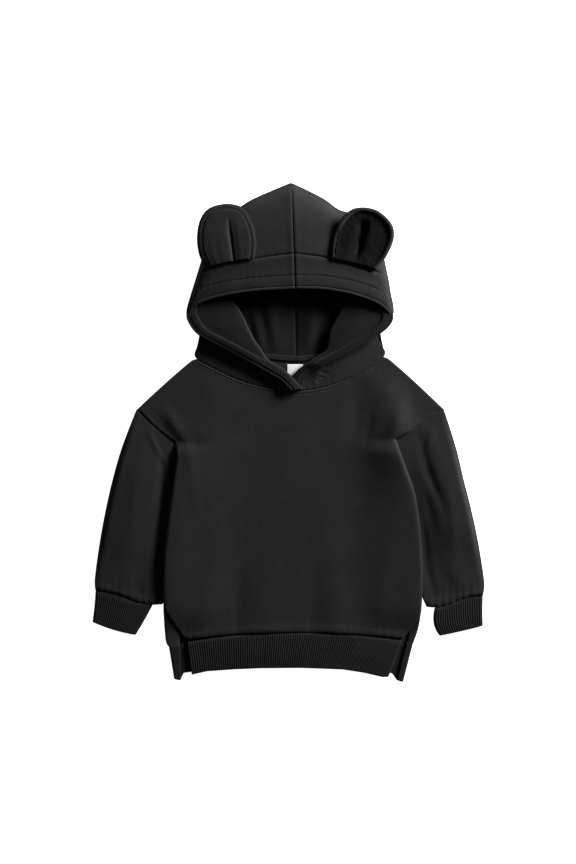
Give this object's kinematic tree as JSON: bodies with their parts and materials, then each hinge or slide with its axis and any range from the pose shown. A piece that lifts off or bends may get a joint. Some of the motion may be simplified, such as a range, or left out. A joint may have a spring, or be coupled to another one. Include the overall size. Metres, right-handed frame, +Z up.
{
  "type": "toddler hoodie",
  "caption": "Toddler's fleece pullover hoodie with bear ears, crossed hood opening, ribbed cuffs and split ribbed hem, laid flat on its back.",
  "frame": {"origin": "middle of the laid-out garment's box, on the surface that it lies on", "axes": "+Z up from the surface, +Y from the hem to the top of the hood, +X to the right of a viewer who looks down on the front"},
  "size_m": [0.509, 0.649, 0.026],
  "materials": {
    "fleece": "brushed black fleece with a short matt nap",
    "rib": "black knitted rib, matt",
    "plush": "deep black short-pile plush",
    "label": "pale grey woven satin tape, bare"
  },
  "bodies": {
    "root": {"front_panel": "fleece", "back_panel": "fleece", "hem_rib_front": "rib", "hem_rib_back": "rib", "sleeve_left": "fleece", "sleeve_right": "fleece", "cuff_left": "rib", "cuff_right": "rib", "hood_left": "fleece", "hood_right": "fleece", "ear_left_outer": "fleece", "ear_left_lining": "plush", "ear_right_outer": "fleece", "ear_right_lining": "plush", "neck_label": "label"}
  },
  "joints": []
}
